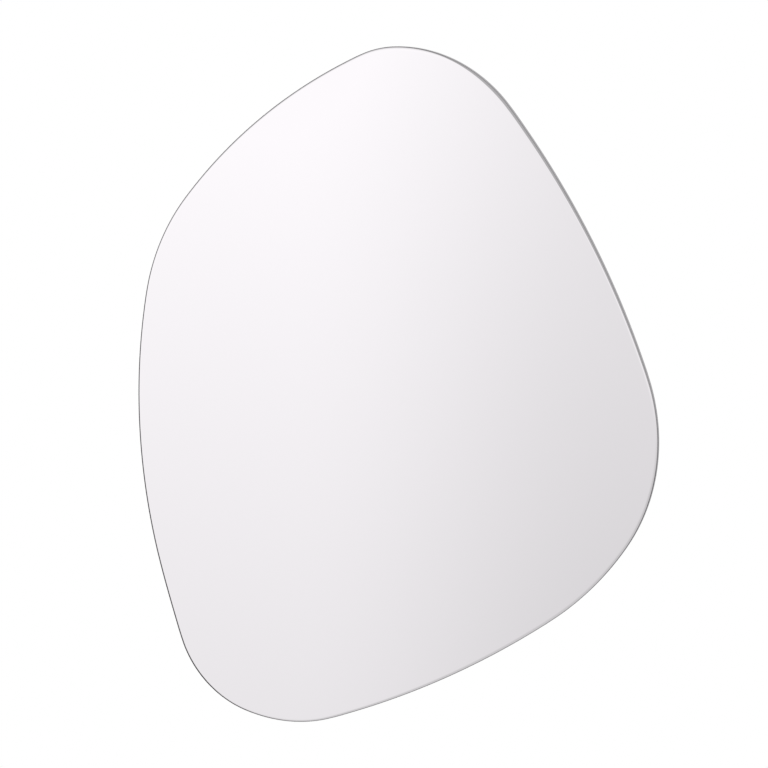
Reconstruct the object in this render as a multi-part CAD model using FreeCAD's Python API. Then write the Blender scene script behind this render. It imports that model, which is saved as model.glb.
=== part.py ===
import FreeCAD
import Part

import math
import os

from FreeCAD import Vector

# A frameless wall mirror with a pebble-shaped pane.
#
# The pane is silvered glass with a polished edge.  It is stuck with foam tape and mirror adhesive to a
# smaller board, which stays out of sight behind it.  The board hangs on two D-ring hangers and stands
# off the wall on four rubber bumpers.
#
# Millimetres.  X runs to the right as one faces the mirror, Y runs from the viewer to the wall, and Z
# runs up.  The origin lies on the wall, midway between the two points where the hooks carry the rings.

# ---------------------------------------------------------------- pane
PANE_WIDTH = 554.0
PANE_HEIGHT = 700.0
PANE_THICKNESS = 6.0
ARRIS = 1.2

# The outline is a closed ring of arcs, each tangent to the next, taken anticlockwise as seen from the
# front.  An edge's facing is the direction in which it looks: 0 is right, 90 is up, 180 is left.  Each
# arc runs on from the arc before it and ends where the edge has the facing given here.  The four long
# sides have no radius of their own: they take the radii that close the ring at the pane's width and
# height.
CHEEK_RADIUS = 195.0
CHEEK_LAST_FACING = 20.5
RIGHT_SIDE_LAST_FACING = 40.2
CROWN_RADIUS = 137.0
CROWN_LAST_FACING = 95.6
CREST_RADIUS = 97.0
CREST_LAST_FACING = 115.9
TOP_LEFT_SIDE_LAST_FACING = 141.4
SHOULDER_RADIUS = 235.0
SHOULDER_LAST_FACING = 168.7
LEFT_SIDE_LAST_FACING = 195.1
SHIN_RADIUS = 1500.0
SHIN_LAST_FACING = 198.0
HEEL_RADIUS = 100.0
HEEL_LAST_FACING = 257.1
SOLE_RADIUS = 160.0
SOLE_LAST_FACING = 293.7
BOTTOM_SIDE_LAST_FACING = 309.3
HIP_RADIUS = 330.0
HIP_LAST_FACING = 329.2

# ---------------------------------------------------------------- coatings on the back of the pane
SILVER_THICKNESS = 0.1
PAINT_THICKNESS = 0.1

# ---------------------------------------------------------------- board
BOARD_THICKNESS = 9.0
BOARD_INSET = 20.0
BOARD_EASED_EDGE = 1.5

# ---------------------------------------------------------------- tape and adhesive
TAPE_COUNT = 4
TAPE_WIDTH = 25.0
TAPE_THICKNESS = 1.1
TAPE_TO_BOARD_SIDE = 64.0
TAPE_TO_BOARD_EDGE = 15.0
RIBBON_WIDTH = 10.0
RIBBON_TO_BOARD_EDGE = 30.0

# ---------------------------------------------------------------- bumpers
BUMPER_HEIGHT = 5.8
BUMPER_BASE_RADIUS = 8.0
BUMPER_TIP_RADIUS = 6.6
BUMPER_BEVEL = 0.9
BUMPER_TO_BOARD_EDGE = 26.0
BUMPER_FACINGS = {
    "upper_right": 52.0,
    "upper_left": 132.0,
    "lower_left": 234.0,
    "lower_right": 312.0,
}
PAD_INSET = 0.6
PAD_THICKNESS = 0.2

# ---------------------------------------------------------------- hangers
HOOK_SPACING = 300.0
HOOK_LINE_ABOVE_CENTRE = 120.0
RING_WIRE = 2.6
RING_TO_STRAP_SIDE = 2.7
RING_INNER_HEIGHT = 12.8
RING_CORNER_RADIUS = 3.0
RING_TO_BOARD = 0.1
STRAP_WIDTH = 12.0
STRAP_THICKNESS = 0.9
STRAP_PAST_LAST_SCREW = 7.0
STRAP_FOLD_GAP = 0.1
STRAP_NECK_RADIUS = 1.0
STRAP_HOLE_CLEARANCE = 0.4
LOOP_CLEARANCE = 0.1

# ---------------------------------------------------------------- screws
SCREW_COUNT = 2
SCREW_PITCH = 19.5
HEAD_TO_FOLDED_RING = 1.3
BOARD_BEYOND_SCREW = 1.4
SCREW_TIP_LENGTH = 2.5
SCREW_TIP_RADIUS = 0.3
SHANK_RADIUS = 1.6
HEAD_RADIUS = 3.5
HEAD_HEIGHT = 2.3
HEAD_RIM_HEIGHT = 0.8
HEAD_CROWN_RADIUS = 1.9
RECESS_RADIUS = 1.8
RECESS_DEPTH = 1.5
RECESS_SLOT = 0.8
RECESS_TAPER = 0.35
PILOT_CLEARANCE = 0.05
PILOT_SPARE_DEPTH = 0.3

# ---------------------------------------------------------------- layers, from the wall to the front
BOARD_BACK = -(PAD_THICKNESS + BUMPER_HEIGHT)
BOARD_FRONT = BOARD_BACK - BOARD_THICKNESS
PAINT_BACK = BOARD_FRONT - TAPE_THICKNESS
SILVER_BACK = PAINT_BACK - PAINT_THICKNESS
PANE_BACK = SILVER_BACK - SILVER_THICKNESS
PANE_FRONT = PANE_BACK - PANE_THICKNESS

TO_WALL = Vector(0, 1, 0)
RIGHT = Vector(1, 0, 0)
FULL_TURN = 360.0


# ---------------------------------------------------------------- outline
def toward(facing):
    """The unit vector in the pane's plane that has this facing."""
    angle = math.radians(facing)
    return Vector(math.cos(angle), 0, math.sin(angle))


def arc_list():
    """Each arc's radius, or None for a long side, with its first and last facing."""
    ends = [
        (CHEEK_RADIUS, CHEEK_LAST_FACING),
        (None, RIGHT_SIDE_LAST_FACING),
        (CROWN_RADIUS, CROWN_LAST_FACING),
        (CREST_RADIUS, CREST_LAST_FACING),
        (None, TOP_LEFT_SIDE_LAST_FACING),
        (SHOULDER_RADIUS, SHOULDER_LAST_FACING),
        (None, LEFT_SIDE_LAST_FACING),
        (SHIN_RADIUS, SHIN_LAST_FACING),
        (HEEL_RADIUS, HEEL_LAST_FACING),
        (SOLE_RADIUS, SOLE_LAST_FACING),
        (None, BOTTOM_SIDE_LAST_FACING),
        (HIP_RADIUS, HIP_LAST_FACING),
    ]
    first = HIP_LAST_FACING - FULL_TURN
    arcs = []
    for radius, last in ends:
        arcs.append((radius, first, last))
        first = last
    return arcs


def step_between(first, last, window_first, window_last):
    """The step along a unit arc, counting only the part whose facing is in the window."""
    step = Vector()
    for lap in (-FULL_TURN, 0.0, FULL_TURN):
        start = max(first + lap, window_first)
        end = min(last + lap, window_last)
        if end > start:
            step += toward(end) - toward(start)
    return step


def ring_conditions(first, last):
    """What one unit of an arc's radius adds to the ring's gap, its width and its height."""
    whole = toward(last) - toward(first)
    along_the_bottom = step_between(first, last, 180.0, 360.0)
    up_the_right = step_between(first, last, -90.0, 90.0)
    return [whole.x, whole.z, along_the_bottom.x, up_the_right.z]


def long_side_radii(arcs):
    """Solves the four conditions for the four arcs that have no radius."""
    totals = [0.0, 0.0, PANE_WIDTH, PANE_HEIGHT]
    columns = []
    for radius, first, last in arcs:
        shares = ring_conditions(first, last)
        if radius is None:
            columns.append(shares)
        else:
            totals = [total - radius * share for total, share in zip(totals, shares)]
    cells = [columns[side][row] for row in range(4) for side in range(4)]
    wanted = [cell for total in totals for cell in (total, 0, 0, 0)]
    solved = FreeCAD.Matrix(*cells).inverse() * FreeCAD.Matrix(*wanted)
    return [solved.A11, solved.A21, solved.A31, solved.A41]


def pane_arcs():
    """Each arc of the pane's edge as centre, radius, first and last facing, from any start."""
    arcs = arc_list()
    long_sides = iter(long_side_radii(arcs))
    solved = []
    centre = Vector()
    last_radius = None
    for radius, first, last in arcs:
        if radius is None:
            radius = next(long_sides)
        if last_radius is not None:
            centre = centre + toward(first) * (last_radius - radius)
        solved.append((centre, radius, first, last))
        last_radius = radius
    return solved


def ring_of(arcs, inset, y):
    """The closed wire that runs this far inside the arcs, in the plane at y."""
    edges = []
    for centre, radius, first, last in arcs:
        middle = (first + last) / 2
        points = [centre + toward(facing) * (radius - inset) for facing in (first, middle, last)]
        points = [Vector(point.x, y, point.z) for point in points]
        edges.append(Part.Arc(*points).toShape())
    return Part.Wire(edges)


def placed_arcs():
    """The pane's arcs in the part's own frame: its centre of area hangs plumb below the origin."""
    arcs = pane_arcs()
    area_centre = Part.Face(ring_of(arcs, 0, 0)).CenterOfMass
    move = Vector(-area_centre.x, 0, -area_centre.z - HOOK_LINE_ABOVE_CENTRE)
    return [(centre + move, radius, first, last) for centre, radius, first, last in arcs]


ARCS = placed_arcs()


def outline(inset, y):
    return ring_of(ARCS, inset, y)


def edge_point(facing, inset, y):
    """The point this far inside the pane's edge, where the edge has this facing."""
    for centre, radius, first, last in ARCS:
        if (facing - first) % FULL_TURN <= last - first:
            point = centre + toward(facing) * (radius - inset)
            return Vector(point.x, y, point.z)


def slab(inset, front, back):
    """A sheet with the pane's outline, inset, between two planes."""
    return Part.Face(outline(inset, front)).extrude(TO_WALL * (back - front))


def upright_span(xs, inset):
    """The lowest and highest z at which every one of these x lies inside the inset outline."""
    face = Part.Face(outline(inset, 0))
    lows = []
    highs = []
    for x in xs:
        plumb_line = Part.makeLine(Vector(x, 0, -PANE_HEIGHT), Vector(x, 0, PANE_HEIGHT))
        box = face.common(plumb_line).BoundBox
        lows.append(box.ZMin)
        highs.append(box.ZMax)
    return max(lows), min(highs)


# ---------------------------------------------------------------- pane and coatings
def glass_pane():
    """The glass, with a flat polished edge between two arrises."""
    blank = slab(0, PANE_FRONT, PANE_BACK)
    rims = []
    for edge in blank.Edges:
        box = edge.BoundBox
        if box.YLength < ARRIS:
            rims.append(edge)
    return blank.makeChamfer(ARRIS, rims)


def silver_layer():
    return slab(ARRIS, PANE_BACK, SILVER_BACK)


def backing_paint():
    return slab(ARRIS, SILVER_BACK, PAINT_BACK)


# ---------------------------------------------------------------- board and what bonds it
def screw_drops():
    """How far below the ring's axis each screw is.  The folded ring clears the first one's head."""
    first = ring_reach() + RING_WIRE / 2 + HEAD_TO_FOLDED_RING + HEAD_RADIUS
    return [first + number * SCREW_PITCH for number in range(SCREW_COUNT)]


def screw_heights():
    """The z of each screw of a hanger."""
    return [ring_axis().z - drop for drop in screw_drops()]


def screw_length():
    """Under the head, through the strap and short of the board's front."""
    return strap_stack() + BOARD_THICKNESS - BOARD_BEYOND_SCREW


def strap_stack():
    """The height of the folded strap over the board."""
    return 2 * STRAP_THICKNESS + STRAP_FOLD_GAP


def backing_board():
    """The board, eased round its rear edge, with a pilot hole for each screw."""
    blank = slab(BOARD_INSET, BOARD_FRONT, BOARD_BACK)
    rear_rim = [edge for edge in blank.Edges if edge.BoundBox.YMin > BOARD_BACK - BOARD_EASED_EDGE]
    board = blank.makeChamfer(BOARD_EASED_EDGE, rear_rim)
    depth = screw_length() - strap_stack() + PILOT_SPARE_DEPTH
    for side in (-1, 1):
        for z in screw_heights():
            mouth = Vector(side * HOOK_SPACING / 2, BOARD_BACK, z)
            hole = Part.makeCylinder(SHANK_RADIUS + PILOT_CLEARANCE, depth, mouth, -TO_WALL)
            board = board.cut(hole)
    return board


def tape_centres():
    """The x of each tape, evenly spaced between the board's two sides."""
    board = Part.Face(outline(BOARD_INSET, 0)).BoundBox
    first = board.XMin + TAPE_TO_BOARD_SIDE + TAPE_WIDTH / 2
    last = board.XMax - TAPE_TO_BOARD_SIDE - TAPE_WIDTH / 2
    spacing = (last - first) / (TAPE_COUNT - 1)
    return [first + number * spacing for number in range(TAPE_COUNT)]


def foam_tape(x):
    """One upright strip of tape, cut square where it nears the board's edge."""
    left = x - TAPE_WIDTH / 2
    low, high = upright_span((left, left + TAPE_WIDTH), BOARD_INSET + TAPE_TO_BOARD_EDGE)
    corner = Vector(left, PAINT_BACK, low)
    return Part.makeBox(TAPE_WIDTH, TAPE_THICKNESS, high - low, corner)


def adhesive_ribbon(x):
    """One upright ribbon of adhesive between two tapes, squeezed flat, with round ends."""
    reach = RIBBON_WIDTH / 2
    low, high = upright_span((x - reach, x + reach), BOARD_INSET + RIBBON_TO_BOARD_EDGE)
    low_end = Vector(x, PAINT_BACK, low + reach)
    high_end = Vector(x, PAINT_BACK, high - reach)
    edges = [
        Part.makeLine(low_end + RIGHT * reach, high_end + RIGHT * reach),
        half_turn(high_end, reach, 90.0),
        Part.makeLine(high_end - RIGHT * reach, low_end - RIGHT * reach),
        half_turn(low_end, reach, 270.0),
    ]
    return Part.Face(Part.Wire(edges)).extrude(TO_WALL * TAPE_THICKNESS)


def half_turn(centre, radius, middle_facing):
    """Half a circle in the pane's plane, anticlockwise, with this facing in its middle."""
    points = [centre + toward(middle_facing + turn) * radius for turn in (-90.0, 0.0, 90.0)]
    return Part.Arc(*points).toShape()


# ---------------------------------------------------------------- bumpers
def bumper_seat(facing):
    """The point on the back of the board under a bumper's centre."""
    return edge_point(facing, BOARD_INSET + BUMPER_TO_BOARD_EDGE, BOARD_BACK)


def rubber_bumper(facing):
    """A rubber foot that narrows to a flat end with a bevelled rim."""
    base = bumper_seat(facing) + TO_WALL * PAD_THICKNESS
    foot = Part.makeCone(BUMPER_BASE_RADIUS, BUMPER_TIP_RADIUS, BUMPER_HEIGHT, base, TO_WALL)
    tip_rim = [edge for edge in foot.Edges if edge.BoundBox.YMin > -BUMPER_BEVEL]
    return foot.makeChamfer(BUMPER_BEVEL, tip_rim)


def adhesive_pads():
    """The thin pad of adhesive under each bumper."""
    pads = []
    for facing in BUMPER_FACINGS.values():
        seat = bumper_seat(facing)
        pads.append(Part.makeCylinder(BUMPER_BASE_RADIUS - PAD_INSET, PAD_THICKNESS, seat, TO_WALL))
    return Part.makeCompound(pads)


# ---------------------------------------------------------------- ring
def loop_outer_radius():
    return RING_WIRE / 2 + LOOP_CLEARANCE + STRAP_THICKNESS


def ring_reach():
    """From the middle of the ring's bar to the middle of its bow."""
    return RING_INNER_HEIGHT + RING_WIRE


def ring_lean():
    """How far the raised ring leans back, in degrees, until its bow is close to the board."""
    room = loop_outer_radius() - RING_WIRE / 2 - RING_TO_BOARD
    return math.degrees(math.asin(room / ring_reach()))


def ring_axis():
    """The middle of the ring's bar, so low that the inside of its bow is at the hook line."""
    rise = ring_reach() * math.cos(math.radians(ring_lean()))
    return Vector(0, BOARD_BACK + loop_outer_radius(), RING_WIRE / 2 - rise)


def ring_path():
    """The middle line of a D-shaped ring, with the middle of its bar at the origin."""
    half_width = STRAP_WIDTH / 2 + RING_TO_STRAP_SIDE + RING_WIRE / 2
    bar_end = half_width - RING_CORNER_RADIUS
    bow_centre = Vector(0, 0, ring_reach() - half_width)
    right_corner = Vector(bar_end, 0, RING_CORNER_RADIUS)
    left_corner = Vector(-bar_end, 0, RING_CORNER_RADIUS)
    edges = [
        Part.makeLine(Vector(0, 0, 0), Vector(bar_end, 0, 0)),
        quarter_turn(right_corner, 315.0),
        Part.makeLine(right_corner + RIGHT * RING_CORNER_RADIUS, bow_centre + RIGHT * half_width),
        half_turn(bow_centre, half_width, 90.0),
        Part.makeLine(bow_centre - RIGHT * half_width, left_corner - RIGHT * RING_CORNER_RADIUS),
        quarter_turn(left_corner, 225.0),
        Part.makeLine(Vector(-bar_end, 0, 0), Vector(0, 0, 0)),
    ]
    return Part.Wire(edges)


def quarter_turn(centre, middle_facing):
    """A quarter of a ring's corner circle, anticlockwise, with this facing in its middle."""
    turns = (-45.0, 0.0, 45.0)
    points = [centre + toward(middle_facing + turn) * RING_CORNER_RADIUS for turn in turns]
    return Part.Arc(*points).toShape()


def hanger_ring(side):
    """The D-shaped wire ring, raised and leaning back on the board."""
    section = Part.Wire([Part.Circle(Vector(), RIGHT, RING_WIRE / 2).toShape()])
    ring = ring_path().makePipeShell([section], True, False)
    ring.rotate(Vector(), RIGHT, ring_lean())
    ring.translate(ring_axis() + RIGHT * side * HOOK_SPACING / 2)
    return ring


# ---------------------------------------------------------------- strap
def off_board(height, z):
    """A point of the strap's profile: its height over the board, and z from the ring's axis."""
    return Vector(0, BOARD_BACK + height, ring_axis().z + z)


def bend(centre_height, centre_z, radius, first, last):
    """An arc of the strap's profile.  Its angles turn from the wall side, 0, to the top, 90."""
    points = []
    for angle in (first, (first + last) / 2, last):
        reach = math.radians(angle)
        height = centre_height + radius * math.cos(reach)
        points.append(off_board(height, centre_z + radius * math.sin(reach)))
    return Part.Arc(*points).toShape()


def strap_length():
    """From the ring's axis to the strap's lower end."""
    return screw_drops()[-1] + STRAP_PAST_LAST_SCREW


def strap_profile():
    """One strip, folded round the ring's bar, back along itself down the board."""
    end = -strap_length()
    outer = loop_outer_radius()
    inner = outer - STRAP_THICKNESS
    under = STRAP_THICKNESS
    over = STRAP_THICKNESS + STRAP_FOLD_GAP
    top = strap_stack()
    neck_height = top + STRAP_NECK_RADIUS
    neck_drop = math.sqrt((outer + STRAP_NECK_RADIUS) ** 2 - (neck_height - outer) ** 2)
    turn = math.degrees(math.atan2(-neck_drop, neck_height - outer))
    neck_far_radius = STRAP_NECK_RADIUS + STRAP_THICKNESS
    corners = [
        (0, 0, 0, end),
        (0, end, under, end),
        (under, end, under, 0),
        (over, -neck_drop, over, end),
        (over, end, top, end),
        (top, end, top, -neck_drop),
    ]
    lines = []
    for height, z, next_height, next_z in corners:
        lines.append(Part.makeLine(off_board(height, z), off_board(next_height, next_z)))
    edges = lines[:3]
    edges.append(bend(outer, 0, inner, 180.0, turn))
    edges.append(bend(neck_height, -neck_drop, neck_far_radius, turn + 180.0, 180.0))
    edges.extend(lines[3:])
    edges.append(bend(neck_height, -neck_drop, STRAP_NECK_RADIUS, 180.0, turn + 180.0))
    edges.append(bend(outer, 0, outer, turn, 180.0))
    return Part.Wire(edges)


def strap_plan():
    """The strap's plan as a deep block to trim it with: square at the loop, round at the lower end."""
    half_width = STRAP_WIDTH / 2
    depth = 2 * (loop_outer_radius() + STRAP_THICKNESS)
    end_centre = off_board(-STRAP_THICKNESS, half_width - strap_length())
    height = strap_length() - half_width + depth
    block = Part.makeBox(STRAP_WIDTH, depth, height, end_centre - RIGHT * half_width)
    round_end = Part.makeCylinder(half_width, depth, end_centre, TO_WALL)
    return block.fuse(round_end)


def hanger_strap(side):
    """The folded steel strap, with a hole through both leaves for each screw."""
    start = RIGHT * (-STRAP_WIDTH / 2)
    profile = strap_profile()
    profile.translate(start)
    strap = Part.Face(profile).extrude(RIGHT * STRAP_WIDTH)
    strap = strap.common(strap_plan())
    depth = strap_stack() + 2 * STRAP_THICKNESS
    for z in screw_heights():
        foot = Vector(0, BOARD_BACK - STRAP_THICKNESS, z)
        hole = Part.makeCylinder(SHANK_RADIUS + STRAP_HOLE_CLEARANCE, depth, foot, TO_WALL)
        strap = strap.cut(hole)
    strap.translate(RIGHT * side * HOOK_SPACING / 2)
    return strap


# ---------------------------------------------------------------- screws
def domed_arc(start, end):
    """The arc between two points of a turned profile whose centre lies on the turning axis."""
    gain = end.x ** 2 + end.y ** 2 - start.x ** 2 - start.y ** 2
    centre = Vector(0, gain / (2 * (end.y - start.y)), 0)
    half_way = (start - centre) + (end - centre)
    half_way.normalize()
    return Part.Arc(start, centre + half_way * (start - centre).Length, end).toShape()


def screw_profile():
    """Half of a pan-head screw: its flat crown, tip, shank, the flat under its head, rim and dome."""
    rim_edge = Vector(HEAD_RADIUS, HEAD_RIM_HEIGHT, 0)
    crown_edge = Vector(HEAD_CROWN_RADIUS, HEAD_HEIGHT, 0)
    points = [
        crown_edge,
        Vector(0, HEAD_HEIGHT, 0),
        Vector(0, -screw_length(), 0),
        Vector(SCREW_TIP_RADIUS, -screw_length(), 0),
        Vector(SHANK_RADIUS, SCREW_TIP_LENGTH - screw_length(), 0),
        Vector(SHANK_RADIUS, 0, 0),
        Vector(HEAD_RADIUS, 0, 0),
        rim_edge,
    ]
    edges = [Part.makeLine(start, end) for start, end in zip(points, points[1:])]
    edges.append(domed_arc(rim_edge, crown_edge))
    return Part.Wire(edges)


def cross_recess():
    """The cross in the screw's head, which narrows as it goes in."""
    top = Vector(0, HEAD_HEIGHT, 0)
    taper = Part.makeCone(RECESS_RADIUS, RECESS_RADIUS * RECESS_TAPER, RECESS_DEPTH, top, -TO_WALL)
    bars = []
    for length, width in ((RECESS_RADIUS, RECESS_SLOT / 2), (RECESS_SLOT / 2, RECESS_RADIUS)):
        corner = Vector(-length, HEAD_HEIGHT - RECESS_DEPTH, -width)
        bars.append(Part.makeBox(2 * length, RECESS_DEPTH, 2 * width, corner))
    return taper.common(bars[0].fuse(bars[1]))


def hanger_screws(side):
    """The screws that hold one strap to the board."""
    blank = Part.Face(screw_profile()).revolve(Vector(), TO_WALL, FULL_TURN)
    pattern = blank.cut(cross_recess())
    screws = []
    for z in screw_heights():
        screw = pattern.copy()
        screw.translate(Vector(side * HOOK_SPACING / 2, BOARD_BACK + strap_stack(), z))
        screws.append(screw)
    return Part.makeCompound(screws)


# ---------------------------------------------------------------- all the pieces
def all_pieces():
    pieces = {
        "glass_pane": glass_pane(),
        "silver_layer": silver_layer(),
        "backing_paint": backing_paint(),
        "backing_board": backing_board(),
        "bumper_adhesive_pads": adhesive_pads(),
    }
    centres = tape_centres()
    for number, x in enumerate(centres, start=1):
        pieces[f"foam_tape_{number}"] = foam_tape(x)
    for number, (x, next_x) in enumerate(zip(centres, centres[1:]), start=1):
        pieces[f"adhesive_ribbon_{number}"] = adhesive_ribbon((x + next_x) / 2)
    for name, facing in BUMPER_FACINGS.items():
        pieces[f"rubber_bumper_{name}"] = rubber_bumper(facing)
    for name, side in (("left", -1), ("right", 1)):
        pieces[f"hanger_ring_{name}"] = hanger_ring(side)
        pieces[f"hanger_strap_{name}"] = hanger_strap(side)
        pieces[f"hanger_screws_{name}"] = hanger_screws(side)
    return pieces


def main():
    os.makedirs("parts", exist_ok=True)
    for name, shape in all_pieces().items():
        shape.exportStep(f"parts/{name}.step")
        box = shape.BoundBox
        print(f"{name}: {len(shape.Solids)} solid, valid {shape.isValid()}, {shape.Volume:.0f} mm3,"
              f" {box.XLength:.1f} x {box.YLength:.1f} x {box.ZLength:.1f} mm")
    print(f"ring axis y {ring_axis().y:.3f} z {ring_axis().z:.3f}, lean {ring_lean():.2f} degrees")
    for name, facing in BUMPER_FACINGS.items():
        seat = bumper_seat(facing)
        print(f"bumper {name}: x {seat.x:.2f} z {seat.z:.2f}")


main()
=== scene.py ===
# %% [markdown]
# # A frameless pebble mirror
# A pane of polished mirror glass with a pebble outline. Behind it, where nobody sees them, are a
# fibreboard, two strap hangers with rings, and four rubber feet that keep the board off the wall.
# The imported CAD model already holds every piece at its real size. So this script adds the looks:
# a camera, a white studio, and a finish for each piece. The pane and the rubber feet are also made
# anew, with rounded edges. The script measures the CAD box first, because the finished model has
# to stay inside it.

# %% Load the mirror's pieces
import math

import bmesh
import bpy
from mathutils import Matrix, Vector
from mathutils.geometry import interpolate_bezier


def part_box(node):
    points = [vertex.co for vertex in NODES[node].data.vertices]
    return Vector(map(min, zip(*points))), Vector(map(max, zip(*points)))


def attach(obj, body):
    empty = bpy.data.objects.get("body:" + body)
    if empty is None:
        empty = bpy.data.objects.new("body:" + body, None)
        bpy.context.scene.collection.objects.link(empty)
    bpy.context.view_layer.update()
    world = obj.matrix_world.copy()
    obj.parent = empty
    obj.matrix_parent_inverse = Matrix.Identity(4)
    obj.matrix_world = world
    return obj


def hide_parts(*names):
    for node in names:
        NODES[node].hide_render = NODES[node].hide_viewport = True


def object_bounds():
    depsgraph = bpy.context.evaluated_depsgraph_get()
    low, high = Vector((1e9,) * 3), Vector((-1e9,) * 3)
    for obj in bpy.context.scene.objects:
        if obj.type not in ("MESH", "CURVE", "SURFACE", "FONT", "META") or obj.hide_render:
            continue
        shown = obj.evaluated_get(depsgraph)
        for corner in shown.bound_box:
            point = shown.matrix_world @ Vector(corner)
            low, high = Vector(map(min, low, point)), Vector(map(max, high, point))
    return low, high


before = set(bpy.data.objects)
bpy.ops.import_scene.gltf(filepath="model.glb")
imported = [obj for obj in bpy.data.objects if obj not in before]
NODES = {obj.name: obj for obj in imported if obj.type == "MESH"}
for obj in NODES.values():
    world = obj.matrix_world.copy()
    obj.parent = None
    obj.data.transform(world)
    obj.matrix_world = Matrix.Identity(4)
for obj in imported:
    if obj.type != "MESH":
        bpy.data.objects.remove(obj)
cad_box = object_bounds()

MM = 0.001
SCENE = bpy.context.scene
SCENE.view_settings.view_transform = "Standard"
print("pieces:", len(NODES), " box:", [round(v, 4) for corner in cad_box for v in corner])

# %% [markdown]
# ## The camera
# The camera stands to the right of the mirror and a little above it, and has a long lens, which
# keeps the outline's two sides nearly parallel. A camera could be turned by Euler angles, but it
# is easier to say where it stands and what it looks at, and to let a track quaternion turn it.
# The point it looks at is in the plane of the mirror's face.

# %% Stand the camera where the photo was taken from
VIEW_AZIMUTH = math.radians(25.0)
VIEW_ELEVATION = math.radians(16.0)
VIEW_DISTANCE = 2.3965
LENS = 116.525
SENSOR = 36.0
pane_low, pane_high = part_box("glass_pane")
VIEW_TARGET = Vector((0.01595, pane_low.y, -0.0933))


def toward(azimuth, elevation):
    """The direction from the mirror to a point so many radians to its right and above it."""
    level = math.cos(elevation)
    return Vector((math.sin(azimuth) * level, -math.cos(azimuth) * level, math.sin(elevation)))


def look(thing, place, target):
    """Stands a camera or a lamp at place, and turns it to the target."""
    thing.location = place
    thing.rotation_mode = "QUATERNION"
    thing.rotation_quaternion = (target - place).to_track_quat("-Z", "Y")
    SCENE.collection.objects.link(thing)


camera = bpy.data.objects.new("camera", bpy.data.cameras.new("camera"))
camera.data.lens = LENS
camera.data.sensor_width = SENSOR
camera.data.sensor_fit = "HORIZONTAL"
view_place = VIEW_TARGET + toward(VIEW_AZIMUTH, VIEW_ELEVATION) * VIEW_DISTANCE
look(camera, view_place, VIEW_TARGET)
SCENE.camera = camera
print("camera at", [round(v, 3) for v in camera.location])

# %% [markdown]
# ## Sums on sockets
# A finish is a small program: masks, sums and mixes of them. Written with one call per node it is
# hard to read. So `Wire` wraps a socket and gives it Python's operators, also the reflected ones,
# and `1 - mask` adds a Math node by itself. `Recipe` owns one node tree, and its `node` makes any
# other kind of node: first its settings, then what goes into its sockets.

# %% The two classes that write node trees


class Wire:
    """A number that comes out of a node. Sums on it add the Math nodes that work them out."""

    def __init__(self, recipe, socket):
        self.recipe = recipe
        self.socket = socket

    def math(self, operation, *others):
        inputs = dict(enumerate((self, *others)))
        return self.recipe.node("ShaderNodeMath", {"operation": operation}, inputs)

    def reflected(self, operation, other):
        return self.recipe.node("ShaderNodeMath", {"operation": operation}, {0: other, 1: self})

    def __add__(self, other):
        return self.math("ADD", other)

    def __sub__(self, other):
        return self.math("SUBTRACT", other)

    def __rsub__(self, other):
        return self.reflected("SUBTRACT", other)

    def __mul__(self, other):
        return self.math("MULTIPLY", other)

    def __truediv__(self, other):
        return self.math("DIVIDE", other)

    def __pow__(self, other):
        return self.math("POWER", other)

    def __neg__(self):
        return self * -1.0

    def __abs__(self):
        return self.math("ABSOLUTE")

    __radd__ = __add__
    __rmul__ = __mul__

    def span(self, low, high):
        """0 at low, 1 at high, soft between them and steady outside them."""
        inputs = {"Value": self, "From Min": low, "From Max": high}
        return self.recipe.node("ShaderNodeMapRange", {"interpolation_type": "SMOOTHSTEP"}, inputs)


class Recipe:
    """One node tree: the finish of a piece, or the light of the world."""

    def __init__(self, owner):
        owner.use_nodes = True
        self.tree = owner.node_tree
        self.tree.nodes.clear()

    def feed(self, socket, value):
        """Links a wire to a socket, or writes a number or a colour into it."""
        if isinstance(value, Wire):
            self.tree.links.new(value.socket, socket)
        elif socket.type == "RGBA":
            socket.default_value = (*value, 1.0)
        else:
            socket.default_value = value

    def node(self, kind, settings=None, inputs=None, output=0):
        """Adds a node, and returns the wire that comes out of the output of that name or place."""
        made = self.tree.nodes.new(kind)
        for name, value in (settings or {}).items():
            if name == "stops":
                self.set_stops(made.color_ramp.elements, value)
            else:
                setattr(made, name, value)
        for name, value in (inputs or {}).items():
            self.feed(made.inputs[name], value)
        return Wire(self, made.outputs[output]) if made.outputs else None

    def set_stops(self, elements, stops):
        """Gives a ramp its (place, grey) stops."""
        while len(elements) < len(stops):
            elements.new(1.0)
        for element, (place, grey) in zip(elements, stops):
            element.position = place
            element.color = (grey, grey, grey, 1.0)

    def parts(self, vector):
        """The three numbers of a vector."""
        first = self.node("ShaderNodeSeparateXYZ", None, {0: vector})
        return [Wire(self, out) for out in first.socket.node.outputs]

    def mix(self, share, first, second):
        """A colour: first where share is 0, and second where it is 1."""
        colours = {"Factor": share, "A": first, "B": second}
        made = self.tree.nodes.new("ShaderNodeMix")
        made.data_type = "RGBA"
        for socket in made.inputs:
            if socket.enabled:
                self.feed(socket, colours[socket.name])
        return Wire(self, next(out for out in made.outputs if out.enabled))


# %% [markdown]
# ## The white studio
# A mirror has no look of its own: it shows the room. In the photo its face runs from nearly white
# at the upper left to a light grey at the lower right, so that is how bright the studio in front
# of it is: brighter with height, and greyer towards one side. The polished edge shows the rest of
# the studio. Where it faces the camera it is light, and where it turns away it is dark, so the
# studio gets darker beside and behind the mirror, apart from the white backdrop straight behind
# it and a little light from the floor. A pale panel leans over the right side, and shows only in
# the edge, and only from the side.
# An image could light the world, but these few sums say it all. The levels in front of the mirror
# are those of the picture, from 0 to 255, and `as_light` turns them into light.

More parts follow.
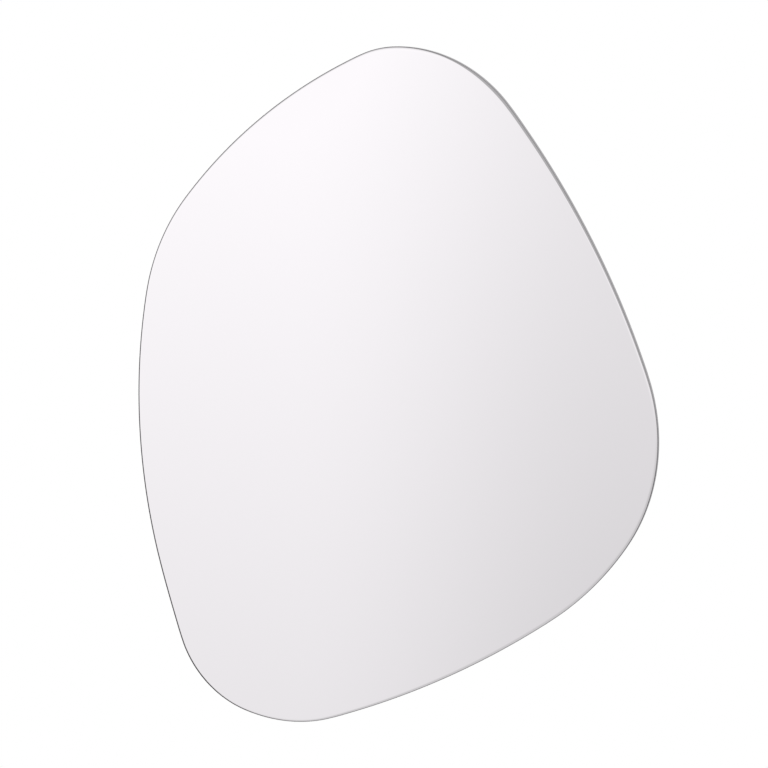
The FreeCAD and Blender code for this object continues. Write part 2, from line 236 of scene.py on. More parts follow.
# %% Build the studio's light
PICTURE_WHITE = 255.0
CURVE_LIFT, CURVE_POWER = 0.055, 2.4
DEGREES = 180.0 / math.pi
HORIZON_LEVEL, LEVEL_PER_DEGREE = 271.6, 1.6
DARKEST_LEVEL, BRIGHTEST_LEVEL = 205.0, 255.0
GREY_SIDE, GREY_SIDE_STARTS, GREY_SIDE_FULL = 21.0, -0.46, -0.32
AROUND = [(0.0, 1.0), (0.34, 1.0), (0.41, 0.46), (0.48, 0.26), (0.60, 0.12), (0.74, 0.03),
          (0.81, 0.10), (0.89, 0.92), (1.0, 0.92)]
FLOOR_BOUNCE, BOUNCE_STARTS, BOUNCE_FULL = 0.15, 0.70, 0.95
PANEL_LIGHT, PANEL_STARTS, PANEL_FULL = 0.55, 0.30, 0.60
PANEL_NEAR, PANEL_FAR = -0.10, 0.20
PANEL_ACROSS, PANEL_UP = 0.8, 0.6


def as_light(level):
    """The light that a picture shows as this level, for levels well above black."""
    return ((level / PICTURE_WHITE + CURVE_LIFT) / (1.0 + CURVE_LIFT)) ** CURVE_POWER


world = bpy.data.worlds.new("white_studio")
SCENE.world = world
room = Recipe(world)
direction = room.node("ShaderNodeTexCoord", output="Generated")
across, depth, height = room.parts(direction)
side = across / (1.0 - height * height).math("SQRT")
elevation = height.math("ARCSINE") * DEGREES
level = HORIZON_LEVEL + LEVEL_PER_DEGREE * elevation
level = level - GREY_SIDE * side.span(GREY_SIDE_STARTS, GREY_SIDE_FULL)
level = level.math("MAXIMUM", DARKEST_LEVEL).math("MINIMUM", BRIGHTEST_LEVEL)
# The depth runs from -1 in front to 1 behind, and a ramp only from 0 to 1.
ramp_place = depth * 0.5 + 0.5
around = room.node("ShaderNodeValToRGB", {"stops": AROUND}, {"Fac": ramp_place})
bounce = FLOOR_BOUNCE * (-height).span(BOUNCE_STARTS, BOUNCE_FULL)
toward_panel = across * PANEL_ACROSS + height * PANEL_UP
panel = PANEL_LIGHT * toward_panel.span(PANEL_STARTS, PANEL_FULL)
panel = panel * depth.span(PANEL_NEAR, PANEL_FAR)
studio_light = as_light(level) * (around.math("MAXIMUM", panel) + bounce)

# %% [markdown]
# Three kinds of rays reach the world, and Light Path keeps them apart. The camera sees plain
# white, as in the photo. What shines sees the studio, with the photo's faint violet tint. All the
# rest gets even light, at a level at which a colour comes out about as it is written.

# %% Send each kind of ray to its light
WHITE = (1.0, 1.0, 1.0)
EVEN_LIGHT = 0.60
STUDIO_TINT = (1.0, 0.972, 1.0)


def background(colour, strength):
    return room.node("ShaderNodeBackground", None, {"Color": colour, "Strength": strength})


def light_path(name):
    return room.node("ShaderNodeLightPath", None, None, name)


def either(share, first, second):
    return room.node("ShaderNodeMixShader", None, {0: share, 1: first, 2: second})


shiny = light_path("Is Glossy Ray").math("MAXIMUM", light_path("Is Transmission Ray"))
lit = either(shiny, background(WHITE, EVEN_LIGHT), background(STUDIO_TINT, studio_light))
seen = either(light_path("Is Camera Ray"), lit, background(WHITE, 1.0))
room.node("ShaderNodeOutputWorld", None, {"Surface": seen})
print("world nodes:", len(room.tree.nodes))

# %% [markdown]
# ## A finish for pieces
# Every piece's mesh is in metres, in the mirror's own frame. So a pattern that reads the object's
# own coordinates comes out at its real scale, and it moves with the piece. `Finish` adds what all
# finishes share: patterns of a given grain, a bump, the shader, and putting it on the pieces.

# %% The class for finishes
NOISE_DETAIL = 3.0
NO_STRETCH = (1.0, 1.0, 1.0)


class Finish(Recipe):
    """The recipe of one material."""

    def __init__(self, name):
        self.material = bpy.data.materials.new(name)
        super().__init__(self.material)
        self.place = self.node("ShaderNodeTexCoord", output="Object")

    def grain(self, size, stretch=NO_STRETCH):
        """Cloudy noise from 0 to 1, with grains of that size in metres, drawn out by stretch."""
        shrink = [1.0 / (size * pull) for pull in stretch]
        spot = self.node("ShaderNodeVectorMath", {"operation": "MULTIPLY"},
                         {0: self.place, 1: shrink})
        return self.node("ShaderNodeTexNoise", None,
                         {"Vector": spot, "Scale": 1.0, "Detail": NOISE_DETAIL})

    def patches(self, size, starts, full, stretch=NO_STRETCH):
        """The crests of that noise: 0 where it is below starts, and 1 where it is above full."""
        return self.grain(size, stretch).span(starts, full)

    def cells(self, size):
        """The distance to the middle of round cells of that size in metres, in cell sizes."""
        return self.node("ShaderNodeTexVoronoi", None, {"Vector": self.place, "Scale": 1.0 / size})

    def facing(self):
        """The three numbers of the direction in which the surface faces."""
        return self.parts(self.node("ShaderNodeNewGeometry", output="True Normal"))

    def bump(self, height, distance):
        """A relief of that depth in metres."""
        return self.node("ShaderNodeBump", None, {"Height": height, "Distance": distance})

    def shade(self, **sockets):
        """The shader, with its sockets' names written with _ for a space."""
        inputs = {name.replace("_", " "): value for name, value in sockets.items()}
        surface = self.node("ShaderNodeBsdfPrincipled", None, inputs)
        self.node("ShaderNodeOutputMaterial", None, {"Surface": surface})

    def put_on(self, *objects):
        """Puts the material on pieces, which then have no other."""
        for thing in objects:
            if not thing.material_slots:
                thing.data.materials.append(None)
            thing.material_slots[0].material = self.material
        print(self.material.name, "on", [thing.name for thing in objects])


# %% [markdown]
# ## The floor and the lamps
# The mirror hangs on a wall, so the floor is 1.5 m below its hooks. A round disc is enough. Its
# colour is pale, and for the camera it is lifted to the white of the studio where no shadow falls:
# the lift is an emission whose colour is black for all but camera rays. Reflections pass the
# floor by and see the studio.
# Two big softboxes, one at the front left and one behind at the right, give the pieces some
# modelling on both sides. Mirrors and polished wire would show them as hard white squares, so
# they light the room but aren't seen in a reflection.

# %% Lay the floor
FLOOR_LEVEL = -1.5
FLOOR_RADIUS = 1.9
FLOOR_SIDES = 96
FLOOR_COLOUR = (0.80, 0.80, 0.80)
FLOOR_ROUGH = 0.9
FLOOR_LIFT = (0.30, 0.30, 0.30)
BLACK = (0.0, 0.0, 0.0)


def object_from(name, build):
    """An object whose mesh the function build makes in a bmesh."""
    mesh = bpy.data.meshes.new(name)
    draft = bmesh.new()
    build(draft)
    draft.to_mesh(mesh)
    draft.free()
    made = bpy.data.objects.new(name, mesh)
    SCENE.collection.objects.link(made)
    return made


floor = object_from("floor", lambda draft: bmesh.ops.create_circle(
    draft, cap_ends=True, radius=FLOOR_RADIUS, segments=FLOOR_SIDES))
floor.location.z = FLOOR_LEVEL
floor.visible_glossy = False
ground = Finish("pale_floor")
for_camera = ground.node("ShaderNodeLightPath", None, None, "Is Camera Ray")
ground.shade(Base_Color=FLOOR_COLOUR, Roughness=FLOOR_ROUGH, Emission_Strength=1.0,
             Emission_Color=ground.mix(for_camera, BLACK, FLOOR_LIFT))
ground.put_on(floor)

# %% Hang the lamps
LAMP_SIZE = 1.4
LAMP_DISTANCE = 2.6
SOFTBOXES = {"front_softbox": (-40, 42, 22), "back_softbox": (150, 40, 24)}


def softbox(name, azimuth, elevation, power):
    """A square lamp that many degrees to the right of the mirror and above it."""
    lamp = bpy.data.objects.new(name, bpy.data.lights.new(name, "AREA"))
    lamp.data.size = LAMP_SIZE
    lamp.data.energy = power
    lamp.visible_glossy = False
    middle = (cad_box[0] + cad_box[1]) / 2
    way = toward(math.radians(azimuth), math.radians(elevation))
    look(lamp, middle + way * LAMP_DISTANCE, middle)
    print(name, power, "W at", [round(v, 2) for v in lamp.location])


for lamp_name, place_and_power in SOFTBOXES.items():
    softbox(lamp_name, *place_and_power)

# %% [markdown]
# ## The pane
# The CAD pane has flat arrises with sharp corners. On a polished pane the wheels round these
# corners, and the rounding is what draws the fine line round a mirror: it turns away from the
# camera in half a millimetre and mirrors ever darker parts of the studio. A bevel modifier could
# round the corners, but it would also split the big flat faces. So the pane is made anew: the
# outline is read from the CAD pane, made smooth with Bezier pieces, and a profile is swept round
# it. The smooth curve bulges past the CAD outline by some hundredths of a millimetre, so it is
# pulled in by a little more than that, and the pane stays inside the CAD box.

# %% Read the pane's outline
ARRIS = 1.2 * MM
OUTLINE_STEPS = 7
PULLED_IN = 0.08 * MM
SAME_DEPTH = 0.01 * MM
SAME_PLACE_DIGITS = 7


def ring_of(node, depth):
    """The points of a node's outline at one depth, in order round it."""
    found = {(round(v.co.x, SAME_PLACE_DIGITS), round(v.co.z, SAME_PLACE_DIGITS))
             for v in node.data.vertices if abs(v.co.y - depth) < SAME_DEPTH}
    middle = sum((Vector(p) for p in found), Vector((0, 0))) / len(found)
    return sorted((Vector(p) for p in found), key=lambda p: math.atan2(*(p - middle).yx))


def heading(before, here, after):
    """The direction of the smooth curve through three points, at the middle one."""
    first, second = here - before, after - here
    share = first.length / (first.length + second.length)
    return (first.normalized() * (1 - share) + second.normalized() * share).normalized()


def smooth_ring(points):
    """Points closer together on the curve through the given ones."""
    count = len(points)
    ways = [heading(points[i - 1], points[i], points[(i + 1) % count]) for i in range(count)]
    curve = []
    for i, here in enumerate(points):
        after, way_after = points[(i + 1) % count], ways[(i + 1) % count]
        reach = (after - here).length / 3
        piece = interpolate_bezier(here, here + ways[i] * reach, after - way_after * reach, after,
                                   OUTLINE_STEPS + 1)
        curve.extend(piece[:-1])
    return curve


outline = smooth_ring(ring_of(NODES["glass_pane"], pane_low.y + ARRIS))
outward = [Vector((way.y, -way.x)) for way in (
    heading(outline[i - 1], outline[i], outline[(i + 1) % len(outline)])
    for i in range(len(outline)))]
outline = [spot - out * PULLED_IN for spot, out in zip(outline, outward)]
print("outline points:", len(outline))

# %% [markdown]
# The profile starts on the front face, goes round the edge and ends on the back face, as a mirror
# image of itself. Each corner is one Bezier piece. The rounding is long where the arris meets the
# face and short where it meets the flat edge. The first millimetre of the profile is flat face.
# It keeps the numbers that the next cell stores apart from the one big face inside it, because
# Blender spreads the numbers of a face's corners all over the face.

# %% Draw the polished profile
FACE_RIM = 1.0 * MM
FACE_ROUNDING = 1.1 * MM
RIM_ROUNDING = 0.35 * MM
ROUNDING_STEPS = 6
ROUNDNESS = 0.55
SLOPE = math.sqrt(0.5)


def rounded(corner, before, after, reach):
    """Points that round off a corner between two directions, from reach before it to after it."""
    start, end = corner + before * reach, corner + after * reach
    return interpolate_bezier(start, start.lerp(corner, ROUNDNESS), end.lerp(corner, ROUNDNESS),
                              end, ROUNDING_STEPS)


def pane_profile(thickness):
    """(inset, depth) pairs from the front face round the edge to the back face."""
    inward, deeper, down_slope = Vector((1, 0)), Vector((0, 1)), Vector((-SLOPE, SLOPE))
    front = rounded(Vector((ARRIS, 0)), inward, down_slope, FACE_ROUNDING)
    rim = rounded(Vector((0, ARRIS)), -down_slope, deeper, RIM_ROUNDING)
    half = [Vector((ARRIS + FACE_ROUNDING + FACE_RIM, 0)), *(Vector(p) for p in (*front, *rim))]
    return half + [Vector((p.x, thickness - p.y)) for p in reversed(half)]


profile = pane_profile(pane_high.y - pane_low.y)
PROFILE_LENGTH = sum((b - a).length for a, b in zip(profile, profile[1:])) / MM
print("profile", round(PROFILE_LENGTH, 2), "mm round the edge")

# %% [markdown]
# The sweep also stores three numbers in each vertex, which the finish reads. The first is the
# distance run over the profile. The second is the width of a painted shade rim: a nearly black
# band at the arris that paints the shade of the dark line round the mirror. On the right the rim
# is too thin to see. On the left it is a hair's width, and at the lower left more than a
# millimetre, because the photo's line is darker there. The third is how far the grey of the
# polished edge is painted on over the arris, as painted shade that makes the dark line wider. In
# the photo the band is widest at the upper right corner, and one thickness of glass can't explain
# that. Each is a lobe: full where the outline faces one way, and falling off to both sides of it.
# The widths are in millimetres, and the sides in degrees up from the right.

# %% Sweep the profile round the outline
# Painted shade: widths in mm of the near-black rim and the grey band that draw the dark line.
RIM_SHADE_LEFT, LEFT_SIDE, LEFT_POWER = 0.36, 152, 1
RIM_SHADE_CORNER, LOWER_CORNER, LOWER_POWER = 1.30, 221, 3
BAND_SHADE_CORNER, UPPER_CORNER, UPPER_POWER = 2.0, 47, 10


def lobe(out, side, power):
    """1 where the outline faces that many degrees up from the right, and less beside it."""
    angle = math.radians(side)
    return max(0.0, out.dot(Vector((math.cos(angle), math.sin(angle))))) ** power


def bare_rim(out):
    """The width in mm of the painted shade rim, where the outline faces that way."""
    return (RIM_SHADE_LEFT * lobe(out, LEFT_SIDE, LEFT_POWER)
            + RIM_SHADE_CORNER * lobe(out, LOWER_CORNER, LOWER_POWER))


def wide_band(out):
    """Painted shade: how many mm of arris get the edge's grey, where the outline faces that way.
    """
    return BAND_SHADE_CORNER * lobe(out, UPPER_CORNER, UPPER_POWER)


def join_rows(draft, rows):
    """Smooth four-sided faces between each closed row of vertices and the next."""
    for upper, lower in zip(rows, rows[1:]):
        for j in range(len(upper)):
            draft.faces.new((upper[j - 1], upper[j], lower[j], lower[j - 1])).smooth = True


def sweep(draft):
    """Builds the pane: the profile at each point of the outline, and its two flat faces."""
    run, rim_shade, band_shade = (draft.verts.layers.float.new(name)
                       for name in ("run", "bare_rim", "wide_band"))
    rows, way = [], 0.0
    for before, point in zip([profile[0], *profile], profile):
        way += (point - before).length / MM
        rows.append([])
        for spot, out in zip(outline, outward):
            place = spot - out * point.x
            vertex = draft.verts.new((place.x, pane_low.y + point.y, place.y))
            vertex[run], vertex[rim_shade], vertex[band_shade] = way, bare_rim(out), wide_band(out)
            rows[-1].append(vertex)
    join_rows(draft, rows)
    draft.faces.new(rows[0])
    draft.faces.new(rows[-1])
    bmesh.ops.recalc_face_normals(draft, faces=draft.faces)


def stands_for(piece, node):
    """The piece takes the place of a CAD node of the mirror."""
    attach(piece, "mirror")
    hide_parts(node)


pane = object_from("polished_pane", sweep)
stands_for(pane, "glass_pane")
print("pane:", len(pane.data.polygons), "faces")

# %% [markdown]
# ## The finish of the pane
# Real glass with silver behind it could be rendered as it is, with two refractions in each ray.
# It costs time, it shows doubled lines round the edge that the photo doesn't have, and a viewer
# that has no refraction loses the mirror. A mirror's face is a nearly perfect reflector, and its
# polished edge reflects less and is greyer, because one looks along into the glass. So one shader
# does both, and the run over the profile says where each begins. The painted shade rim is nearly
# black: it paints the shade of the dark line round the mirror. At the upper right, the edge's grey
# is painted on over the arris as painted shade too. Fine lines from the polishing wheel run along
# the flat edge.

# %% Silver and polish the pane
FACE_COLOUR = (0.985, 0.985, 0.985)
ARRIS_COLOUR = (0.93, 0.93, 0.93)
# Painted shade: the near-black colour of the rim that draws the dark line round the mirror.
RIM_SHADE_COLOUR = (0.14, 0.14, 0.14)
EDGE_COLOUR, EDGE_LINES_COLOUR = (0.41, 0.412, 0.412), (0.47, 0.474, 0.472)
ARRIS_STARTS, ARRIS_FULL = 1.0, 1.5
RIM_SHADE_STARTS, RIM_SHADE_FULL = 2.15, 2.35
RIM_SHADE_FAINT, RIM_SHADE_PLAIN = -0.2, 0.9
EDGE_STARTS, EDGE_FULL = 2.85, 3.25
POLISH_LINE, POLISH_STRETCH = 0.25 * MM, (60.0, 1.0, 60.0)
ARRIS_ROUGH, EDGE_ROUGH, LINES_ROUGH = 0.06, 0.07, 0.10

glass = Finish("polished_mirror_glass")


def stored(name):
    """A number that the sweep stored in the vertices."""
    return glass.node("ShaderNodeAttribute", {"attribute_name": name}, output="Fac")


run, rim_shade, band_shade = stored("run"), stored("bare_rim"), stored("wide_band")
from_face = run.math("MINIMUM", PROFILE_LENGTH - run)
arris_part = from_face.span(ARRIS_STARTS, ARRIS_FULL)
# Painted shade: the near-black rim paints the shade of the dark line round the mirror.
rim_shade_part = (from_face + rim_shade).span(RIM_SHADE_STARTS, RIM_SHADE_FULL) * rim_shade.span(RIM_SHADE_FAINT, RIM_SHADE_PLAIN)
# Painted shade: at the upper right the edge's grey is painted on over the arris.
edge_and_shade_part = (from_face + band_shade).span(EDGE_STARTS, EDGE_FULL)
polish = glass.grain(POLISH_LINE, POLISH_STRETCH)
edge_colour = glass.mix(polish, EDGE_COLOUR, EDGE_LINES_COLOUR)
colour = glass.mix(arris_part, FACE_COLOUR, ARRIS_COLOUR)
colour = glass.mix(rim_shade_part, glass.mix(edge_and_shade_part, colour, edge_colour), RIM_SHADE_COLOUR)
gloss = arris_part * ARRIS_ROUGH + edge_and_shade_part * (EDGE_ROUGH + LINES_ROUGH * polish)
glass.shade(Base_Color=colour, Metallic=1.0, Roughness=gloss)
glass.put_on(pane)

# %% [markdown]
# ## Silver and paint
# Behind the glass lie a bright silver layer and the grey paint that protects it. Only their rim
# and the back of the paint show. Paint from a curtain coater is satin, with a faint orange peel,
# soft clouds where it lies thicker, and thin scuffs from stacking. Scuffs are noise drawn out in
# one direction, of which only the highest crests count. Spots and clouds are crests too, and three
# numbers describe each: the size of the grain, and the noise at which a crest starts and is full.

# %% Finish the silver
SILVER_COLOUR, SPOTTED_SILVER = (0.95, 0.94, 0.93), (0.70, 0.66, 0.60)
SILVER_SPOTS = (3 * MM, 0.62, 0.72)
SILVER_ROUGH, SPOTS_ROUGH = 0.05, 0.25

silver = Finish("mirror_silver")
spots = silver.patches(*SILVER_SPOTS)
silver.shade(Base_Color=silver.mix(spots, SILVER_COLOUR, SPOTTED_SILVER), Metallic=1.0,
             Roughness=SILVER_ROUGH + SPOTS_ROUGH * spots)
silver.put_on(NODES["silver_layer"])

# %% Finish the paint
PAINT_COLOUR, PAINT_CLOUD = (0.345, 0.385, 0.405), (0.395, 0.435, 0.455)
SCUFF_COLOUR = (0.56, 0.58, 0.59)
PAINT_CLOUDS = (55 * MM, 0.35, 0.65)
SCUFFS, SCUFF_STRETCH, SCUFF_SHARE = (0.9 * MM, 0.70, 0.78), (40.0, 1.0, 1.5), 0.5
PAINT_ROUGH, CLOUDS_ROUGH, SCUFFS_ROUGH = 0.36, 0.08, 0.15
ORANGE_PEEL, PEEL_DEPTH = 1.6 * MM, 0.012 * MM

paint = Finish("grey_backing_paint")
clouds = paint.patches(*PAINT_CLOUDS)
scuffs = paint.patches(*SCUFFS, SCUFF_STRETCH) * SCUFF_SHARE
paint_colour = paint.mix(scuffs, paint.mix(clouds, PAINT_COLOUR, PAINT_CLOUD), SCUFF_COLOUR)
peel = paint.bump(paint.grain(ORANGE_PEEL), PEEL_DEPTH)
paint_rough = PAINT_ROUGH + CLOUDS_ROUGH * clouds + SCUFFS_ROUGH * scuffs
paint.shade(Base_Color=paint_colour, Roughness=paint_rough, Normal=peel)
paint.put_on(NODES["backing_paint"])

# %% [markdown]
# ## The fibreboard
# Medium-density fibreboard is pressed from wood fibres: no grain, but a fine felt of short light
# and dark fibres in every direction. Its faces are sanded smooth and a little darker. Where it is
# sawn, the fibres stand up and the paler core shows between two dense skins. Which of the two a
# spot is, the direction of its surface says. The felt is the mean of three noises, one drawn out
# along x, one along z and one round. Two long crossing ones alone would look woven.

# %% Colour the board's faces
BOARD_COLOUR = (0.45, 0.31, 0.195)
FIBRE_LIGHT, FIBRE_DARK = (0.55, 0.40, 0.265), (0.33, 0.215, 0.13)
FIBRE = 0.5 * MM
SHORT_FIBRE = 0.7 * FIBRE
FIBRE_STRETCH = 2.5
LIGHT_STARTS, LIGHT_FULL = 0.50, 0.60
DARK_STARTS, DARK_FULL = 0.52, 0.62
BLOTCH, BLOTCH_STARTS, BLOTCH_FULL, BLOTCH_SHARE = 30 * MM, 0.4, 0.7, 0.25

board = Finish("fibreboard")
along = board.grain(FIBRE, (FIBRE_STRETCH, 1.0, 1.0))
upright = board.grain(FIBRE, (1.0, 1.0, FIBRE_STRETCH))
felt = (along + upright + board.grain(SHORT_FIBRE)) / 3.0
blotches = board.grain(BLOTCH)
face_colour = board.mix(felt.span(LIGHT_STARTS, LIGHT_FULL), BOARD_COLOUR, FIBRE_LIGHT)
face_colour = board.mix((1.0 - felt).span(DARK_STARTS, DARK_FULL), face_colour, FIBRE_DARK)
face_colour = board.mix(blotches.span(BLOTCH_STARTS, BLOTCH_FULL) * BLOTCH_SHARE, face_colour,
                        FIBRE_LIGHT)

# %% Colour the sawn edge and put the finish on the board
CORE_COLOUR, SKIN_COLOUR = (0.50, 0.345, 0.215), (0.33, 0.215, 0.125)
SKIN_STARTS, SKIN_FULL = 0.25, 0.48
TORN_STARTS, TORN_FULL, TORN_SHARE = 0.46, 0.62, 0.6
FLAT_STARTS, FLAT_FULL = 0.5, 0.9
FELT_DEPTH, SAWN_DEPTH = 0.03 * MM, 0.12 * MM
BOARD_ROUGH, SAWN_ROUGH = 0.68, 0.2
board_low, board_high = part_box("backing_board")

board_depth = board.parts(board.place)[1]
from_core = abs(board_depth - (board_low.y + board_high.y) / 2) / (board_high.y - board_low.y)
sawn_colour = board.mix(from_core.span(SKIN_STARTS, SKIN_FULL), CORE_COLOUR, SKIN_COLOUR)
sawn_colour = board.mix(felt.span(TORN_STARTS, TORN_FULL) * TORN_SHARE, sawn_colour, FIBRE_LIGHT)
sawn = 1.0 - abs(board.facing()[1]).span(FLAT_STARTS, FLAT_FULL)
relief = board.bump(felt * (FELT_DEPTH + sawn * SAWN_DEPTH) / SAWN_DEPTH, SAWN_DEPTH)
board.shade(Base_Color=board.mix(sawn, face_colour, sawn_colour),
            Roughness=BOARD_ROUGH + SAWN_ROUGH * sawn, Normal=relief)
board.put_on(NODES["backing_board"])

# %% [markdown]
# ## Tape and adhesive
# Foam tape has closed cells, which show at its cut sides as small round pits. A Voronoi pattern
# makes them: each pit is deepest at the middle of a cell and ends half a cell away from it. The
# pits are also painted darker, as painted shade in the hollows. The mirror adhesive is a cured
# sealant, smooth and slightly glossy, with a slow waviness from the nozzle.

# %% Finish the foam tape
FOAM_COLOUR, FOAM_PIT_SHADE = (0.82, 0.82, 0.80), (0.62, 0.62, 0.60)
FOAM_CELL, PIT_MIDDLE, PIT_RIM = 0.35 * MM, 0.1, 0.5
PIT_SHADE_SHARE, PIT_DEPTH = 0.6, 0.06 * MM
FOAM_ROUGH = 0.85

foam = Finish("white_foam")
pits = 1.0 - foam.cells(FOAM_CELL).span(PIT_MIDDLE, PIT_RIM)
# Painted shade: the pits are darker, as shade in the cell hollows.
foam.shade(Base_Color=foam.mix(pits * PIT_SHADE_SHARE, FOAM_COLOUR, FOAM_PIT_SHADE), Roughness=FOAM_ROUGH,
           Normal=foam.bump(1.0 - pits, PIT_DEPTH))
foam.put_on(*(NODES[f"foam_tape_{i}"] for i in (1, 2, 3, 4)))

# %% Finish the mirror adhesive
SEALANT_COLOUR, SEALANT_CLOUD = (0.62, 0.60, 0.54), (0.70, 0.68, 0.62)
WAVE, WAVE_STRETCH, WAVE_DEPTH = 6 * MM, (1.0, 1.0, 2.5), 0.2 * MM
SEALANT_ROUGH, WAVES_ROUGH = 0.28, 0.1

sealant = Finish("cured_sealant")
waves = sealant.grain(WAVE, WAVE_STRETCH)
sealant.shade(Base_Color=sealant.mix(waves, SEALANT_COLOUR, SEALANT_CLOUD),
              Roughness=SEALANT_ROUGH + WAVES_ROUGH * waves,
              Normal=sealant.bump(waves, WAVE_DEPTH))
sealant.put_on(*(NODES[f"adhesive_ribbon_{i}"] for i in (1, 2, 3)))

# %% [markdown]
# ## Hangers and screws
# The straps are cold-rolled strip with bright zinc: the rolling leaves fine streaks along the
# strip, and the zinc bath leaves soft bluish and yellowish clouds. The rings are drawn wire with
# nickel, brighter and warmer. The screw heads are zinc too, turned, so their fine scratches run in
# every direction. All three are metals, so the colour is that of their reflection, and the
# roughness does most of the work.

# %% Finish the straps
SIDES = ("left", "right")
ZINC_BLUE, ZINC_YELLOW = (0.68, 0.71, 0.75), (0.76, 0.74, 0.68)
ZINC_CLOUDS = (7 * MM, 0.35, 0.65)
ROLLING, ROLLING_STRETCH = 0.12 * MM, (1.0, 1.0, 60.0)
SCRATCH_DEPTH = 0.004 * MM
STRIP_ROUGH, ROLLING_ROUGH, ZINC_CLOUDS_ROUGH = 0.22, 0.16, 0.08

strip = Finish("zinc_strip")
rolled = strip.grain(ROLLING, ROLLING_STRETCH)
zinc_clouds = strip.patches(*ZINC_CLOUDS)
strip.shade(Base_Color=strip.mix(zinc_clouds, ZINC_BLUE, ZINC_YELLOW), Metallic=1.0,
            Roughness=STRIP_ROUGH + ROLLING_ROUGH * rolled + ZINC_CLOUDS_ROUGH * zinc_clouds,
            Normal=strip.bump(rolled, SCRATCH_DEPTH))
strip.put_on(*(NODES[f"hanger_strap_{side}"] for side in SIDES))

# %% Finish the rings
NICKEL, NICKEL_DULL = (0.80, 0.77, 0.72), (0.66, 0.63, 0.58)
DULL_SPOTS = (2.5 * MM, 0.45, 0.7)
WIRE_SCRATCH = 0.2 * MM
WIRE_ROUGH, DULL_ROUGH = 0.13, 0.15

wire = Finish("nickel_wire")
dull = wire.patches(*DULL_SPOTS)
wire.shade(Base_Color=wire.mix(dull, NICKEL, NICKEL_DULL), Metallic=1.0,
           Roughness=WIRE_ROUGH + DULL_ROUGH * dull,
           Normal=wire.bump(wire.grain(WIRE_SCRATCH), SCRATCH_DEPTH))
wire.put_on(*(NODES[f"hanger_ring_{side}"] for side in SIDES))

# %% Finish the screws
SCREW_ZINC, SCREW_DULL = (0.74, 0.75, 0.77), (0.55, 0.56, 0.58)
TURNING, TURNING_DEPTH = 0.3 * MM, 2 * SCRATCH_DEPTH
SCREW_DULL_STARTS, SCREW_DULL_FULL = 0.45, 0.65
SCREW_ROUGH, TURNING_ROUGH = 0.24, 0.2

screw = Finish("zinc_screws")
turned = screw.grain(TURNING)
screw_dull = turned.span(SCREW_DULL_STARTS, SCREW_DULL_FULL)
screw.shade(Base_Color=screw.mix(screw_dull, SCREW_ZINC, SCREW_DULL), Metallic=1.0,
            Roughness=SCREW_ROUGH + TURNING_ROUGH * turned,
            Normal=screw.bump(turned, TURNING_DEPTH))
screw.put_on(*(NODES[f"hanger_screws_{side}"] for side in SIDES))

# %% [markdown]
# ## Rubber bumpers
# The CAD bumpers are cones with a flat bevel, right in size and plain in looks. Moulded rubber
# has round edges, a small dimple where the mould was filled, and a faint ring where the mould's
# parts met. All of that is round, so a profile turned about the bumper's axis makes it, as on a
# lathe. The box of the CAD bumper gives the place, the height and the widest radius.

# %% Draw a bumper's profile
TIP_SHARE = 0.825
TIP_ROUNDING = 1.3 * MM
DIMPLE_RADIUS, DIMPLE_DEPTH, DIMPLE_FLOOR_SHARE = 1.7 * MM, 0.5 * MM, 0.5
LIP_ROUNDING, LIP_SLOPE = 0.4 * MM, (-0.6, -0.8)
SEAM, SEAM_PLACE = 0.12 * MM, 0.18


def bumper_profile(radius, height):
    """(radius, height) pairs from the foot of a bumper to the middle of its tip."""
    tip = Vector((radius * TIP_SHARE, height))
    foot = Vector((radius, 0.0))
    slant = (foot - tip).normalized()
    seam_at = foot.lerp(tip, SEAM_PLACE)
    shoulder = rounded(tip, slant, Vector((-1, 0)), TIP_ROUNDING)
    lip = Vector((DIMPLE_RADIUS, height))
    dimple = rounded(lip, Vector((1, 0)), Vector(LIP_SLOPE), LIP_ROUNDING)
    bottom = Vector((DIMPLE_FLOOR_SHARE * DIMPLE_RADIUS, height - DIMPLE_DEPTH))
    seam = [seam_at + slant * SEAM, seam_at - Vector((SEAM, 0)), seam_at - slant * SEAM]
    return [foot, *seam, *shoulder, *dimple, bottom, Vector((0.0, bottom.y))]


# %% Turn the bumpers
BUMPER_SIDES = 64
SAME_VERTEX = 0.001 * MM


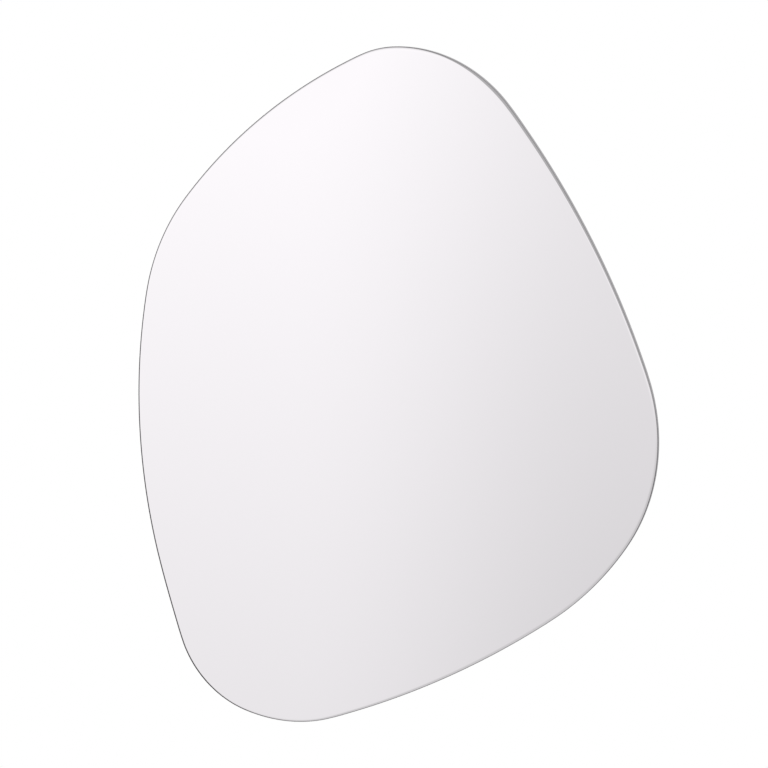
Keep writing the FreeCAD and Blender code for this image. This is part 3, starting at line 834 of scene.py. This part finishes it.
def turn(middle, foot, profile):
    """A function that turns the profile about the axis through middle, along +Y from foot."""
    def build(draft):
        rows = [[draft.verts.new((middle.x + p.x * math.cos(angle), foot + p.y,
                                  middle.z + p.x * math.sin(angle)))
                 for angle in (math.tau * i / BUMPER_SIDES for i in range(BUMPER_SIDES))]
                for p in profile]
        draft.faces.new(rows[0])
        join_rows(draft, rows)
        bmesh.ops.remove_doubles(draft, verts=draft.verts, dist=SAME_VERTEX)
        bmesh.ops.recalc_face_normals(draft, faces=draft.faces)
    return build


bumpers = []
for corner in ("upper_right", "upper_left", "lower_left", "lower_right"):
    node = f"rubber_bumper_{corner}"
    low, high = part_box(node)
    middle, radius = (low + high) / 2, (high.x - low.x) / 2
    shape = bumper_profile(radius, high.y - low.y)
    bumper = object_from(f"moulded_bumper_{corner}", turn(middle, low.y, shape))
    stands_for(bumper, node)
    bumpers.append(bumper)
    print(bumper.name, "radius", round(radius / MM, 2), "mm")

# %% [markdown]
# ## Rubber and its pads
# Black rubber is never black: it is a dark grey with a dry sheen, a fine moulded grain and some
# dust. The pads under the bumpers are clear adhesive with tiny trapped bubbles.

# %% Finish the bumpers
RUBBER_COLOUR, RUBBER_DUST = (0.035, 0.035, 0.037), (0.12, 0.115, 0.11)
DUST, DUST_SHARE = (0.8 * MM, 0.60, 0.75), 0.6
RUBBER_ROUGH, DUST_ROUGH = 0.48, 0.25
MOULD_GRAIN, MOULD_DEPTH = 0.25 * MM, 0.02 * MM

rubber = Finish("moulded_rubber")
dust = rubber.patches(*DUST)
rubber.shade(Base_Color=rubber.mix(dust * DUST_SHARE, RUBBER_COLOUR, RUBBER_DUST),
             Roughness=RUBBER_ROUGH + DUST_ROUGH * dust,
             Normal=rubber.bump(rubber.grain(MOULD_GRAIN), MOULD_DEPTH))
rubber.put_on(*bumpers)

# %% Finish the pads
PAD_COLOUR, PAD_BUBBLE = (0.75, 0.74, 0.70), (0.88, 0.87, 0.84)
BUBBLE_CELL, BUBBLE_MIDDLE, BUBBLE_RIM = 0.8 * MM, 0.15, 0.3
PAD_ROUGH, BUBBLES_ROUGH = 0.25, 0.2

pads = Finish("clear_adhesive_pads")
bubbles = 1.0 - pads.cells(BUBBLE_CELL).span(BUBBLE_MIDDLE, BUBBLE_RIM)
pads.shade(Base_Color=pads.mix(bubbles, PAD_COLOUR, PAD_BUBBLE),
           Roughness=PAD_ROUGH + BUBBLES_ROUGH * bubbles)
pads.put_on(NODES["bumper_adhesive_pads"])
